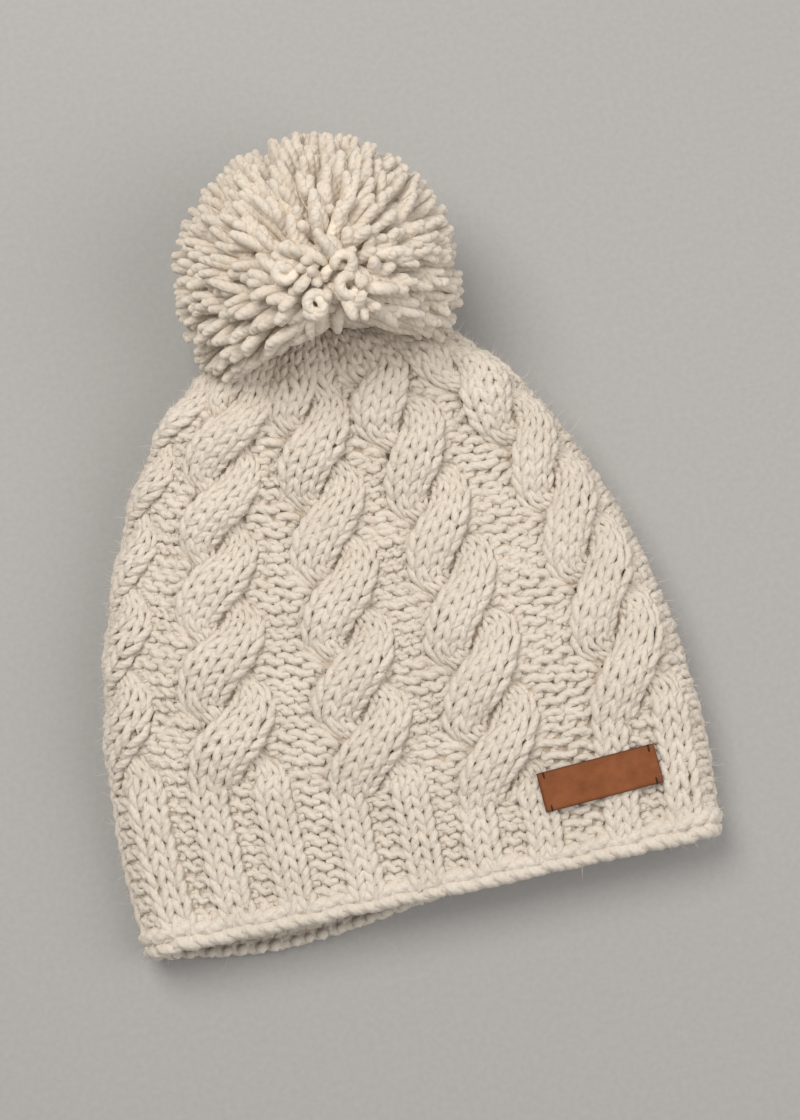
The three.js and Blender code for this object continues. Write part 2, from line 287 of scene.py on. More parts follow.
# Studio, in metres
FLOOR_SIZE = 6.0
LIGHT_TARGET = Vector((0.0, 0.0, 0.02))
LIGHTS = [
    {"name": "key", "place": (-0.3, 0.5, 1.15), "size": 0.8, "power": 10.5, "colour": (1.0, 0.97, 0.92)},
    {"name": "fill", "place": (0.8, -0.3, 1.0), "size": 1.2, "power": 6.0, "colour": (1.0, 0.98, 0.96)},
]
WORLD_COLOUR = (1.0, 0.99, 0.97, 1.0)
WORLD_STRENGTH = 0.355

# Camera of the photo: millimetres a pixel at its aim, and its direction round and above the floor
PHOTO_HEIGHT = 1120.0
PIXEL = 0.41
AIM = np.array([13.9, 136.0, 30.0])
AZIMUTH = math.radians(-12.0)
ELEVATION = math.radians(82.0)
LENS = 70.0
SENSOR = 36.0


def ease(lo, hi, value):
    t = np.clip((value - lo) / (hi - lo), 0.0, 1.0)
    return t * t * (3.0 - 2.0 * t)


def unit(v):
    return v / np.maximum(np.linalg.norm(v, axis=-1, keepdims=True), 1e-12)


def along_table(table, column, place):
    """Value of a column at places along a table."""
    return np.interp(place, [row["along"] for row in table], [row[column] for row in table])


def half_width(y):
    low = HALF_WIDTH - MOUTH_TAPER * (np.maximum(WIDEST_AT - y, 0.0) / WIDEST_AT) ** 2
    u = np.clip((y - WIDEST_AT) / (LENGTH - WIDEST_AT), 0.0, 1.0)
    return np.where(y < WIDEST_AT, low, HALF_WIDTH * (1.0 - u * u) ** DOME_POWER)


def open_half_thickness(y):
    growth = BODY_HALF_THICKNESS - MOUTH_HALF_THICKNESS
    return MOUTH_HALF_THICKNESS + growth * ease(0.0, THICKENS_OVER, y)


def half_thickness(y):
    u = np.clip((y - CLOSES_FROM) / (LENGTH - CLOSES_FROM), 0.0, 1.0)
    return np.minimum(open_half_thickness(y) * np.sqrt(1.0 - u * u), ROUND_SHARE * half_width(y))


def middle_height(y):
    return WALL / 2 + open_half_thickness(y) + TIP_LIFT * ease(LIFTS_FROM, LENGTH, y)


def around_at(y):
    """Length round a section."""
    b = half_thickness(y)
    return 4.0 * (half_width(y) - b) + 2.0 * np.pi * b


def section(y, turn):
    """Point of a section with flat faces and round sides, turn 0 at the middle of the front."""
    b = half_thickness(y)
    flat = half_width(y) - b
    wrapped = turn - np.floor(turn)
    side = np.where(wrapped > 0.5, -1.0, 1.0)
    along = np.where(wrapped > 0.5, 1.0 - wrapped, wrapped) * around_at(y)
    angle = np.clip((along - flat) / np.maximum(b, 1e-9), 0.0, np.pi)
    on_back = along > flat + np.pi * b
    x = np.where(along < flat, along, flat + b * np.sin(angle))
    x = np.where(on_back, 2.0 * flat + np.pi * b - along, x)
    z = b * np.cos(angle)
    sag = 1.0 - TOP_SAG * (x / np.maximum(half_width(y), 1e-9)) ** 2
    z = np.where(z > 0.0, z * sag, z)
    return np.stack([side * x, y, middle_height(y) + z], -1)


def wall_middle(turn, height):
    """Point of the middle of the wall at a turn round the hat and a height along its front."""
    share = np.abs(section(np.full_like(turn, WIDEST_AT), turn)[..., 0]) / HALF_WIDTH
    rise = COURSE_RISE * share**2
    y = np.where(height > 0.0, height * (1.0 + rise * (1.0 - height / LENGTH)), height)
    wrapped = turn - np.floor(turn)
    back = np.clip((wrapped - BACK_REACH["from"]) / (BACK_REACH["to"] - BACK_REACH["from"]), 0.0, 1.0)
    y = y - BACK_REACH["out"] * np.sin(np.pi * back) ** 2 * (1.0 - ease(0.0, BACK_REACH["fades"], height))
    return section(np.minimum(y, LENGTH - 1e-3), turn)


def wall_frame(turn, height):
    """Point of the middle of the wall, and its outward normal."""
    step_turn = 0.002
    step_height = 0.3
    around = wall_middle(turn + step_turn, height) - wall_middle(turn - step_turn, height)
    up = wall_middle(turn, height + step_height) - wall_middle(turn, height - step_height)
    return wall_middle(turn, height), unit(np.cross(around, up))


def press_on_floor(points, radius):
    """Lifts what would sink into the floor, softly, so that the back lies flat."""
    knee = radius + FLOOR_SOFTNESS
    z = points[..., 2]
    low = radius + FLOOR_SOFTNESS * np.exp((z - knee) / FLOOR_SOFTNESS)
    points[..., 2] = np.where(z < knee, low, z)
    return points


def to_scene(points):
    return (points + np.array([0.0, MOUTH_Y, 0.0])) * MM


def ring_quads(rings, around, closed=False):
    """Quads between rings of points, rows by places. Closed joins the last ring to the first."""
    rows = rings if closed else rings - 1
    row, place = np.meshgrid(np.arange(rows), np.arange(around), indexing="ij")
    here = row * around
    above = (row + 1) % rings * around
    beside = (place + 1) % around
    return np.stack([here + place, here + beside, above + beside, above + place], -1)


def fan(hub, ring):
    """Triangles from a hub to a ring of points."""
    return np.stack([np.full(len(ring), hub), ring, np.roll(ring, -1)], -1)


def build(name, verts, quads, tris, material, yarn_uv=None):
    """One smooth mesh object of quads and triangles, with the map of its yarn where it has one."""
    corners = np.concatenate([quads.ravel(), tris.ravel()]).astype(np.int32)
    tri_starts = 4 * len(quads) + 3 * np.arange(len(tris))
    starts = np.concatenate([4 * np.arange(len(quads)), tri_starts]).astype(np.int32)
    mesh = bpy.data.meshes.new(name)
    mesh.vertices.add(len(verts))
    mesh.vertices.foreach_set("co", to_scene(verts).astype(np.float32).ravel())
    mesh.loops.add(len(corners))
    mesh.loops.foreach_set("vertex_index", corners)
    mesh.polygons.add(len(starts))
    mesh.polygons.foreach_set("loop_start", starts)
    mesh.polygons.foreach_set("use_smooth", np.ones(len(starts), bool))
    if yarn_uv is not None:
        layer = mesh.uv_layers.new(name="yarn")
        layer.uv.foreach_set("vector", yarn_uv.astype(np.float32).ravel())
    mesh.update(calc_edges=True)
    mesh.validate()
    mesh.materials.append(material)
    piece = bpy.data.objects.new(name, mesh)
    bpy.context.scene.collection.objects.link(piece)
    return piece


def tubes(paths, radii, normals, sides, closed=False):
    """Skins a bundle of paths, tubes by samples. Open tubes get rounded-off ends."""
    end_round = 0.6
    count, samples = paths.shape[:2]
    tangent = np.roll(paths, -1, 1) - np.roll(paths, 1, 1) if closed else np.gradient(paths, axis=1)
    tangent = unit(tangent)
    side = unit(np.cross(tangent, normals))
    out = np.cross(side, tangent)
    angle = np.arange(sides) * 2.0 * np.pi / sides
    ring = side[:, :, None] * np.cos(angle)[:, None] + out[:, :, None] * np.sin(angle)[:, None]
    verts = (paths[:, :, None] + ring * radii[:, :, None, None]).reshape(count, -1, 3)
    quads = ring_quads(samples, sides, closed).reshape(-1, 4)
    tris = np.zeros((0, 3), int)
    length = np.linalg.norm(np.roll(paths, -1, 1) - paths, axis=-1)
    along = np.concatenate([np.zeros((count, 1)), np.cumsum(length, 1)], 1)
    row, place = np.divmod(np.arange(len(quads)), sides)
    low = along[:, row]
    high = along[:, row + 1]
    left = np.broadcast_to(place / sides, low.shape)
    right = np.broadcast_to((place + 1) / sides, low.shape)
    corners = ((low, left), (low, right), (high, right), (high, left))
    quad_uv = np.stack([np.stack(corner, -1) for corner in corners], -2)
    if not closed:
        first = samples * sides
        last_ring = first - sides + np.arange(sides)
        away = radii[:, [0, -1], None] * np.array([[-end_round], [end_round]])
        verts = np.concatenate([verts, paths[:, [0, -1]] + tangent[:, [0, -1]] * away], 1)
        tris = np.concatenate([fan(first, np.arange(sides)[::-1]), fan(first + 1, last_ring)])
    tri_uv = np.zeros((count, len(tris), 3, 2))
    tri_uv[:, sides:, :, 0] = along[:, -2, None, None]
    shift = (np.arange(count) * verts.shape[1])[:, None, None]
    return {
        "verts": verts.reshape(-1, 3),
        "quads": (quads + shift).reshape(-1, 4),
        "tris": (tris + shift).reshape(-1, 3),
        "quad_uv": quad_uv.reshape(-1, 2),
        "tri_uv": tri_uv.reshape(-1, 2),
    }


def join_tubes(name, bundles, material):
    """One mesh of several bundles of tubes."""
    ends = np.cumsum([len(bundle["verts"]) for bundle in bundles])
    starts = np.concatenate([[0], ends[:-1]])
    verts = np.concatenate([bundle["verts"] for bundle in bundles])
    quads = np.concatenate([bundle["quads"] + start for bundle, start in zip(bundles, starts)])
    tris = np.concatenate([bundle["tris"] + start for bundle, start in zip(bundles, starts)])
    maps = [bundle["quad_uv"] for bundle in bundles] + [bundle["tri_uv"] for bundle in bundles]
    return build(name, verts, quads, tris, material, np.concatenate(maps))


def smooth_run(column):
    """One column of the strand's run in cable pitches, smoothed, over two crossings."""
    rise = np.arange(-CROSSING, CROSSING, RUN_STEP)
    value = np.interp(rise, [row["rise"] for row in STRAND_RUN], [row[column] for row in STRAND_RUN])
    reach = round(2.5 * RUN_SMOOTHING / RUN_STEP)
    kernel = np.exp(-((np.arange(-reach, reach + 1) * RUN_STEP / RUN_SMOOTHING) ** 2))
    smooth = np.convolve(np.tile(value, 3), kernel / kernel.sum(), "same")
    return smooth[len(rise) : 2 * len(rise)] / CABLE_PITCH


RUN = {column: smooth_run(column) for column in ("middle", "half")}


def run_at(column, rise):
    """Looks the smoothed run up at a height above the crossing where the strand is in front."""
    values = RUN[column]
    place = (rise + CROSSING) / RUN_STEP
    low = np.floor(place).astype(int)
    share = place - low
    return values[low % len(values)] * (1.0 - share) + values[(low + 1) % len(values)] * share


def cable_shape(cable, height):
    """Where the two strands of a cable run: sideways middle, half width, lean and lift of each,
    and the outer edges of the cable, in cable pitches."""
    first = FIRST_CROSSINGS[cable]
    into = ease(first - CABLE_STARTS, first - CABLE_FULL, height)
    widen = 1.0 + WIDENS["by"] * ease(WIDENS["from"], WIDENS["to"], height)
    fade = 1.0 - ease(SINKS_FROM, LENGTH, height)
    plain = ease(PLAIN_FROM, PLAIN_TO, height)
    on_right = np.where(np.floor((PLAIN_FROM - first) / CROSSING) % 2 == 0, 1.0, -1.0)
    shape = {"into": into, "plain": plain, "middle": {}, "half": {}, "lean": {}, "lift": {}}
    for strand in (1, -1):
        rise = height - first + (0.0 if strand > 0 else CROSSING)
        rib_middle = -strand * RIB_EDGE / 2
        middle = rib_middle + (run_at("middle", rise) * widen - rib_middle) * into
        half = RIB_EDGE / 2 + (run_at("half", rise) * widen - RIB_EDGE / 2) * into
        lean = run_at("middle", rise + 0.5) - run_at("middle", rise - 0.5)
        shape["middle"][strand] = middle + (PLAIN_HALF * strand * on_right - middle) * plain
        shape["half"][strand] = half + (PLAIN_HALF - half) * plain
        shape["lean"][strand] = lean * into * (1.0 - plain)
        shape["lift"][strand] = STRAND_OVER * np.cos(np.pi * rise / CROSSING) * into * fade * (1.0 - plain)
    shape["base"] = (RIB_RISE + (STRAND_RISE - RIB_RISE) * into) * fade
    right = [shape["middle"][strand] + shape["half"][strand] for strand in (1, -1)]
    left = [shape["half"][strand] - shape["middle"][strand] for strand in (1, -1)]
    shape["right"] = np.minimum(np.maximum(*right), 0.5)
    shape["left"] = np.minimum(np.maximum(*left), 0.5)
    return shape


def cable_at(cable, height):
    """Middle of a cable in pitches, set aside as it lies in the hat and evenly spread at the tip."""
    return cable + ASIDE[cable] * (1.0 - ease(EVEN_FROM, EVEN_TO, height))


def strand_top(shape, strand, offset):
    """How far a strand stands above the plain gaps, to a side of the middle of its cable."""
    local = (offset - shape["middle"][strand]) / shape["half"][strand]
    own = shape["lift"][strand] - STRAND_ROUND * local**2 * shape["into"] * (1.0 - shape["plain"])
    return shape["base"] + own - STRAND_ROUND * (2.0 * offset) ** 2 * shape["plain"]


def flatten_at_folds(turn, out):
    """The knitting is stretched smooth where the lying hat folds at its two sides."""
    wrapped = turn - np.floor(turn)
    away = np.minimum(np.abs(wrapped - 0.25), np.abs(wrapped - 0.75)) / FOLD_FLAT["width"]
    return out * (1.0 - FOLD_FLAT["share"] * np.exp(-away * away))


def wales_at(table, height):
    return [row["wales"] for row in table if height >= row["from"]][-1]


def course_wales(middle):
    """The wales of a course in order round the hat: cable, strand or 0 for a gap, place in it,
    and face, 1 for knit and -1 for purl."""
    strand_wales = wales_at(STRAND_WALES, middle)
    wales = []
    for cable in range(CABLES):
        across = cable_shape(cable, np.array(middle))["middle"]
        ribbed = middle < FIRST_CROSSINGS[cable] - RIB_ENDS
        for strand in sorted((1, -1), key=across.get):
            innermost = strand_wales - 1 if strand > 0 else 0
            for place in range(strand_wales):
                face = -1.0 if ribbed and place == innermost else 1.0
                wales.append({"cable": cable, "strand": strand, "place": place, "face": face})
        for place in range(wales_at(GAP_WALES, middle)):
            wales.append({"cable": cable, "strand": 0, "place": place, "face": -1.0})
    return wales


def face_run(faces, t):
    """Face along the yarn of a course, turned over between a knit and a purl stitch."""
    before = np.roll(faces, 1)[:, None]
    own = faces[:, None]
    after = np.roll(faces, -1)[:, None]
    into_stitch = before + (own - before) * ease(-TURN_OVER, TURN_OVER, t)
    out_of_stitch = own + (after - own) * ease(1.0 - TURN_OVER, 1.0 + TURN_OVER, t)
    return np.where(t < 0.5, into_stitch, out_of_stitch)


def wale_edges(strand, count, into):
    """Edges of the wales across a strand, from -1 to 1, uneven in a rib and even in a cable."""
    widths = np.array(RIB_WALES if count == len(RIB_WALES) else [1.0] * count)
    widths = widths / widths.sum()
    widths = widths + (1.0 / count - widths) * into
    if strand < 0:
        widths = widths[::-1]
    return np.concatenate([[0.0], np.cumsum(widths)]) * 2.0 - 1.0


def gap_stitch(wale, middle, pitch, height, across):
    """Turn, height, rise and wale width along one purl stitch between two cables."""
    count = wales_at(GAP_WALES, middle)
    cable = wale["cable"]
    following = (cable + 1) % CABLES
    start = cable_at(cable, height) + cable_shape(cable, height)["right"]
    end = cable_at(following, height) - cable_shape(following, height)["left"]
    end = end + (CABLES if following == 0 else 0)
    turn = (start + (end - start) * (wale["place"] + across) / count) / CABLES
    width = (end - start).mean() / count * pitch
    return turn, height, np.full_like(height, -GAP_SINK), np.full_like(height, width)


def strand_stitch(wale, middle, pitch, height, across):
    """Turn, height, rise and wale width along one stitch of a strand, whose courses turn with it."""
    cable = wale["cable"]
    strand = wale["strand"]
    into = cable_shape(cable, np.array(middle))["into"]
    edges = wale_edges(strand, wales_at(STRAND_WALES, middle), into)
    share = edges[wale["place"] + 1] - edges[wale["place"]]
    local = edges[wale["place"]] + share * across
    shape = cable_shape(cable, height)
    slope = shape["lean"][strand] * pitch
    turned = COURSE_TURN * local * shape["half"][strand] * pitch * slope
    height = height - np.clip(turned, -COURSE_TURN_LIMIT, COURSE_TURN_LIMIT)
    shape = cable_shape(cable, height)
    offset = shape["middle"][strand] + local * shape["half"][strand]
    turn = (cable_at(cable, height) + offset) / CABLES
    rise = strand_top(shape, strand, offset) if wale["face"] > 0 else np.full_like(height, -FURROW_SINK)
    width = share * shape["half"][strand] * pitch / np.sqrt(1.0 + slope * slope)
    return turn, height, rise, width


def wobble(stitches, size):
    """Hand-made unevenness of a course: a random value for each stitch, run smoothly into the next."""
    knots = rng.normal(0.0, size, stitches)
    place = np.arange(stitches * STITCH_SAMPLES) / STITCH_SAMPLES
    return np.interp(place, np.arange(stitches + 1), np.append(knots, knots[0]))


def course_path(index):
    """Centre line of one course round the hat, its outward normals and the radius of the yarn."""
    t = np.arange(STITCH_SAMPLES) / STITCH_SAMPLES
    across = t + STITCH_OPEN * np.sin(4.0 * np.pi * t)
    rise = -np.cos(2.0 * np.pi * t)
    depth = -np.cos(4.0 * np.pi * t)
    middle = FIRST_COURSE + (index + 0.5) * COURSE_STEP
    pitch = around_at(min(middle, LAST_ROUND)) / CABLES
    wales = course_wales(middle)
    count = len(wales)
    face = face_run(np.array([wale["face"] for wale in wales]), t)
    reach = (KNIT_REACH + PURL_REACH) / 2 + (KNIT_REACH - PURL_REACH) / 2 * face
    stitches = []
    for wale, own_reach in zip(wales, reach):
        stitch = strand_stitch if wale["strand"] else gap_stitch
        stitches.append(stitch(wale, middle, pitch, middle + rise * own_reach * COURSE_STEP, across))
    turn, height, out, width = np.array(stitches).transpose(1, 0, 2).reshape(4, -1)
    purl = 0.5 - 0.5 * face.ravel()
    lean = PURL_LEAN * np.tile(np.sin(4.0 * np.pi * t), count) * purl
    turn = turn + PATTERN_SHIFT + wobble(count, UNEVEN["around"]) / (pitch * CABLES)
    height = height - lean + wobble(count, UNEVEN["up"]) + rng.normal(0.0, UNEVEN["rough"], turn.shape)
    out = flatten_at_folds(turn, out) + (STITCH_DEPTH * face * depth).ravel() + wobble(count, UNEVEN["out"])
    full = FULL_WALE["knit"] + (FULL_WALE["purl"] - FULL_WALE["knit"]) * purl
    radius = YARN * np.clip(width / full, YARN_THINNEST, 1.0 + PURL_THICKER * purl)
    plump = 1.0 + YARN_PLUMP * np.tile(depth, count) + wobble(count, UNEVEN["thick"])
    point, normal = wall_frame(turn, height)
    point = press_on_floor(point + normal * out[:, None], LIES_AT)
    return point, normal, radius * plump


# Points of the yarn and their normals, and points near the free ends of the tufts, for the hairs
yarn_points = []
tuft_ends = []


def knit(name, courses):
    """One stretch of knitting, with a closed yarn for each course."""
    bundles = []
    for index in courses:
        point, normal, radius = course_path(index)
        yarn_points.append(np.stack([point, normal], 1))
        bundles.append(tubes(point[None], radius[None], normal[None], YARN_SIDES, closed=True))
    return join_tubes(name, bundles, wool)


def knit_rise(turn, height):
    """How far the middle of the knitting stands above the wall."""
    away = (turn - PATTERN_SHIFT)[:, None] - cable_at(np.arange(CABLES), height[:, None]) / CABLES
    away = (away - np.round(away)) * CABLES
    cable = np.abs(away).argmin(1)
    offset = np.take_along_axis(away, cable[:, None], 1)[:, 0]
    shape = cable_shape(cable, height)
    rise = np.full_like(turn, -GAP_SINK)
    for strand in (1, -1):
        local = (offset - shape["middle"][strand]) / shape["half"][strand]
        drop = EDGE_DROP * local**4 * shape["into"] * (1.0 - shape["plain"])
        top = strand_top(shape, strand, offset) - drop
        rise = np.where(np.abs(local) < 1.0, np.maximum(rise, top), rise)
    furrow = (np.abs(offset) < RIB_WALES[-1]) & (shape["into"] < 0.5)
    return flatten_at_folds(turn, np.where(furrow, -FURROW_SINK, rise))


def ground_face(below):
    """Points of one face of the ground, a ring for each of its courses."""
    turn = np.arange(GROUND_AROUND) / GROUND_AROUND
    rings = []
    for height in GROUND_COURSES:
        level = np.full(GROUND_AROUND, height)
        point, normal = wall_frame(turn, level)
        out = knit_rise(turn, level) - below
        rings.append(press_on_floor(point + normal * out[:, None], GROUND_LIES_AT))
    return np.array(rings)


def wall_ground():
    """Felted middle of the knitting, seen only through gaps between stitches, darker and browner than the
    yarn as painted shade in those gaps.
    """
    outer, inner = [ground_face(below) for below in GROUND_FACES]
    tips = [outer[-1].mean(0) + [0.0, GROUND_TIP, 0.0], inner[-1].mean(0)]
    verts = np.concatenate([outer.reshape(-1, 3), inner.reshape(-1, 3), tips])
    rings = len(GROUND_COURSES)
    start = rings * GROUND_AROUND
    quads = ring_quads(rings, GROUND_AROUND).reshape(-1, 4)
    ring = np.arange(GROUND_AROUND)
    beside = np.roll(ring, -1)
    rim = np.stack([beside, ring, start + ring, start + beside], -1)
    last = start - GROUND_AROUND + ring
    tris = np.concatenate([fan(2 * start, last), fan(2 * start + 1, start + last[::-1])])
    return build("wall_ground", verts, np.concatenate([quads, quads[:, ::-1] + start, rim]), tris, shaded_ground)


def cast_on_rim():
    """Chain of stitches lying along the edge of the head opening."""
    links = RIM["links"]
    t = np.linspace(-RIM["overlap"], 1.0 + RIM["overlap"], RIM["samples"])
    across = t + RIM["open"] * np.sin(4.0 * np.pi * t) - 0.5
    ahead = -RIM["ahead"] * np.cos(2.0 * np.pi * t)
    depth = -np.cos(4.0 * np.pi * t)
    turn = (np.arange(links)[:, None] + ahead + rng.normal(0.0, RIM_UNEVEN["around"], (links, 1))) / links
    tall = RIM["tall"] * (1.0 + rng.normal(0.0, RIM_UNEVEN["tall"], (links, 1)))
    height = RIM["middle"] + tall * across
    height = height + RIM_WAVE["size"] * np.sin(2.0 * np.pi * RIM_WAVE["waves"] * turn)
    tuck = np.maximum(RIM_TUCK["below"] - height, 0.0)
    height = height + tuck - RIM_TUCK["most"] * np.tanh(tuck / RIM_TUCK["most"])
    out = RIM_OUT["middle"] + RIM_OUT["depth"] * depth - RIM_TUCK["inward"] * tuck
    point, normal = wall_frame(turn, height)
    point = press_on_floor(point + normal * out[..., None], RIM_YARN["lies_at"])
    yarn = rng.uniform(RIM_YARN["thin"], RIM_YARN["thick"], (links, 1))
    yarn_points.append(np.stack([point.reshape(-1, 3), normal.reshape(-1, 3)], 1))
    bundle = tubes(point, yarn * (1.0 + RIM_YARN["plump"] * depth), normal, YARN_SIDES)
    return join_tubes("cast_on_rim", [bundle], wool)


def in_crown(points):
    """Whether points lie within the outside of the knitted crown."""
    y = np.minimum(points[..., 1], LENGTH - 0.5)
    b = half_thickness(y) + WALL / 2 + CROWN_CLEARANCE
    flat = np.maximum(half_width(y) + WALL / 2 + CROWN_CLEARANCE - b, 0.0)
    side = np.maximum(np.abs(points[..., 0]) - flat, 0.0)
    within = side**2 + (points[..., 2] - middle_height(y)) ** 2 < b * b
    return within & (points[..., 1] < CROWN_ENDS)


def spiral(tufts):
    """Directions about the face of the pom-pom between two cosines from it, thinned out towards it."""
    first = unit(np.cross(POM_FACE, [0.0, 0.0, 1.0]))
    second = np.cross(POM_FACE, first)
    i = np.arange(tufts["count"])
    level = np.linspace(tufts["high"], tufts["low"], SPIRAL_STEPS)
    weight = np.cumsum(1.0 - tufts["thin"] * np.clip(level, 0.0, 1.0))
    share = (weight - weight[0]) / (weight[-1] - weight[0])
    up = np.interp((i + 0.5) / tufts["count"], share, level)[:, None]
    turn = (i * GOLDEN_ANGLE)[:, None]
    return up * POM_FACE + np.sqrt(1.0 - up * up) * (np.cos(turn) * first + np.sin(turn) * second)


def tuft_lines(draw):
    """Root and tip of each tuft, and how far it hangs down. Some tufts over the crown are lifted to
    hang over its edge, and the others there are tucked short."""
    direction = np.concatenate([spiral(FRONT_TUFTS), spiral(BACK_TUFTS)])
    direction = unit(direction + draw.normal(0.0, TUFT_STRAY, direction.shape))
    count = len(direction)
    edge = OVER_CROWN + OVER_CROWN_SIDES * np.abs(direction[:, 0])
    over = (direction[:, 1] < -edge / POM_RADIUS) & (direction[:, 2] > OVER_CROWN_LOWEST)
    hanging = over & (draw.random(count) < HANGING["share"])
    level = -edge / POM_RADIUS * draw.uniform(HANGING["nearest"], HANGING["farthest"], count)
    direction[:, 1] = np.where(hanging, level, direction[:, 1])
    upright = np.sqrt(np.maximum(1.0 - direction[:, 0] ** 2 - direction[:, 1] ** 2, 0.0))
    direction[:, 2] = np.where(hanging, upright, direction[:, 2])
    droop = hanging * draw.uniform(HANGING["least_droop"], HANGING["most_droop"], count)
    tucked = TUCKED * edge / np.maximum(-direction[:, 1], 0.1)
    shorter = TUFT_LENGTH["shorter"] * draw.random(count) ** TUFT_LENGTH["power"]
    reach = np.where(over & ~hanging, tucked, POM_RADIUS) * (TUFT_LENGTH["longest"] - shorter)
    tip = POM + direction * reach[:, None]
    facing = (direction * POM_FACE).sum(1)
    depth = np.where(facing > 0.0, TUFT_ROOTS["front"], TUFT_ROOTS["back"]) * facing
    root = POM + POM_FACE * depth[:, None] + draw.normal(0.0, TUFT_ROOTS["spread"], tip.shape)
    return root + (tip - root) * TUFT_ROOTS["starts"], tip, droop


def tuft_paths(root, tip, droop, side, bulge, share):
    """Paths of tufts from root to tip, cut to a share of their length."""
    t = np.linspace(0.0, 1.0, TUFT_SAMPLES)
    line = root[:, None] + (tip - root)[:, None] * (share[:, None] * t)[..., None]
    line[..., 2] -= droop[:, None] * t * t
    return line + side[:, None] * (bulge[:, None] * t * (1.0 - t))[..., None]


def tufts(draw):
    """Cut yarn ends that stand out all round, each path from its free end to its root."""
    root, tip, droop = tuft_lines(draw)
    count = len(root)
    side = unit(np.cross(tip - root, draw.normal(size=(count, 3))))
    bulge = draw.normal(0.0, TUFT_BULGE, count)
    clear = ~in_crown(tuft_paths(root, tip, droop, side, bulge, np.ones(count)))
    free = np.cumprod(clear, 1).sum(1) / TUFT_SAMPLES
    keep = free > SHORTEST_FREE
    paths = tuft_paths(root, tip, droop, side, bulge, free)[keep]
    paths = press_on_floor(paths, POM_LIES_AT)[:, ::-1]
    thick = draw.uniform(TUFT_YARN["thin"], TUFT_YARN["thick"], count)[keep]
    profile = along_table(TUFT_PROFILE, "thick", np.linspace(0.0, 1.0, TUFT_SAMPLES))
    tuft_ends.append(paths[:, 1:4].reshape(-1, 3))
    normals = np.broadcast_to(side[keep][:, None], paths.shape)
    return tubes(paths, thick[:, None] * profile, normals, TUFT_SIDES)


def curls(draw):
    """Yarn ends that curl over near the middle of the face."""
    steps = np.array(POM_CURLS)
    count = len(steps)
    aim = unit(np.concatenate([steps, np.full((count, 1), CURL["aim"] * POM_RADIUS)], 1))
    first = unit(np.cross(aim, draw.normal(size=(count, 3))))
    second = unit(np.cross(aim, first) + CURL["tilt"] * aim)
    t = np.linspace(0.0, 1.0, CURL_SAMPLES)
    angle = np.clip(t - CURL["stem"], 0.0, 1.0) / (1.0 - CURL["stem"]) * math.radians(CURL["turn"])
    loop = draw.uniform(CURL["small"], CURL["large"], count)[:, None]
    stem = along_table(CURL_STEM, "reach", t) * POM_RADIUS
    paths = POM + aim[:, None] * stem[:, None]
    paths = paths + first[:, None] * (loop * (1.0 - np.cos(angle)))[..., None]
    paths = paths + second[:, None] * (loop * np.sin(angle))[..., None]
    radii = np.broadcast_to(along_table(CURL_PROFILE, "thick", t), paths.shape[:2])
    normals = np.broadcast_to(unit(aim + 0.1)[:, None], paths.shape)
    return tubes(paths[:, ::-1], radii[:, ::-1], normals, CURL_SIDES)


def pom_tufts():
    draw = np.random.default_rng(POM_SEED)
    return join_tubes("pom_tufts", [tufts(draw), curls(draw)], tuft_wool)


def pom_core():
    """Dense roots of the tufts, smaller towards the crown, in the darker ground colour as painted shade
    deep in the pom-pom.
    """
    rings = CORE["rings"]
    around = CORE["around"]
    polar = np.linspace(0.0, np.pi, rings + 2)[1:-1, None]
    angle = np.arange(around)[None] * 2.0 * np.pi / around
    level = np.cos(polar) * np.ones_like(angle)
    ball = np.stack([np.sin(polar) * np.cos(angle), level, np.sin(polar) * np.sin(angle)], -1)
    growth = (CORE["back"] - CORE["front"]) * ease(CORE["from"], CORE["to"], level)
    verts = press_on_floor(POM + ball * (CORE["front"] + growth)[..., None], POM_LIES_AT).reshape(-1, 3)
    poles = [POM + [0.0, CORE["back"], 0.0], POM - [0.0, CORE["front"], 0.0]]
    verts = np.concatenate([verts, poles])
    quads = ring_quads(rings, around)[..., [0, 3, 2, 1]].reshape(-1, 4)
    ring = np.arange(around)
    last = (rings - 1) * around + ring
    tris = np.concatenate([fan(rings * around, ring), fan(rings * around + 1, last[::-1])])
    return build("pom_core", verts, quads, tris, shaded_ground)


def front_height(x, y):
    """Middle of the front wall, straight below a point of the plan."""
    return middle_height(y) + half_thickness(y) * (1.0 - TOP_SAG * (x / half_width(y)) ** 2)


def label_point(across, along, off):
    """Point of the patch over the band, and its outward normal."""
    step = 0.5
    x = LABEL["x"] + across * math.cos(LABEL["tilt"]) - along * math.sin(LABEL["tilt"])
    y = LABEL["y"] + across * math.sin(LABEL["tilt"]) + along * math.cos(LABEL["tilt"])
    slope_x = (front_height(x + step, y) - front_height(x - step, y)) / (2.0 * step)
    slope_y = (front_height(x, y + step) - front_height(x, y - step)) / (2.0 * step)
    normal = unit(np.stack([-slope_x, -slope_y, np.ones_like(x)], -1))
    return np.stack([x, y, front_height(x, y)], -1) + normal * off[..., None], normal


def label_places(length, count):
    """Places across the patch, closer together at its two cut edges."""
    inner = np.linspace(LABEL_EDGE[-1], length - LABEL_EDGE[-1], count - 2 * len(LABEL_EDGE) + 2)
    return np.concatenate([LABEL_EDGE[:-1], inner, length - LABEL_EDGE[-2::-1]]) - length / 2


